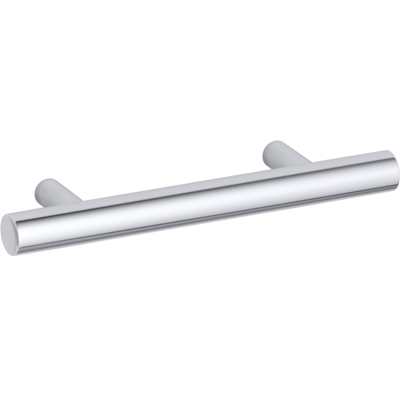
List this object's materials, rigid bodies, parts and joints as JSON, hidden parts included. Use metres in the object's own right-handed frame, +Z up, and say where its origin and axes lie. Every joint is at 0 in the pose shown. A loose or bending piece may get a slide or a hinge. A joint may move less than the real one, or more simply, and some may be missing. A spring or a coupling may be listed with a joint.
{
  "type": "drawer pull",
  "caption": "Straight round bar pull on round posts, polished chrome, fixed by screws from behind the drawer front.",
  "frame": {"origin": "on the drawer front, midway between the two screw holes in the feet", "axes": "+X along the bar, to the right as seen from in front of the drawer; +Y into the drawer front, so the bar is on the -Y side; +Z up, across the bar"},
  "size_m": [0.127, 0.0345, 0.0126],
  "materials": {
    "bar_plating": "polished chrome plate",
    "post_plating": "polished chrome plate",
    "screw_steel": "plain turned steel"
  },
  "bodies": {
    "root": {"bar": "bar_plating", "left_post": "post_plating", "right_post": "post_plating", "left_set_screw": "screw_steel", "right_set_screw": "screw_steel"}
  },
  "joints": []
}
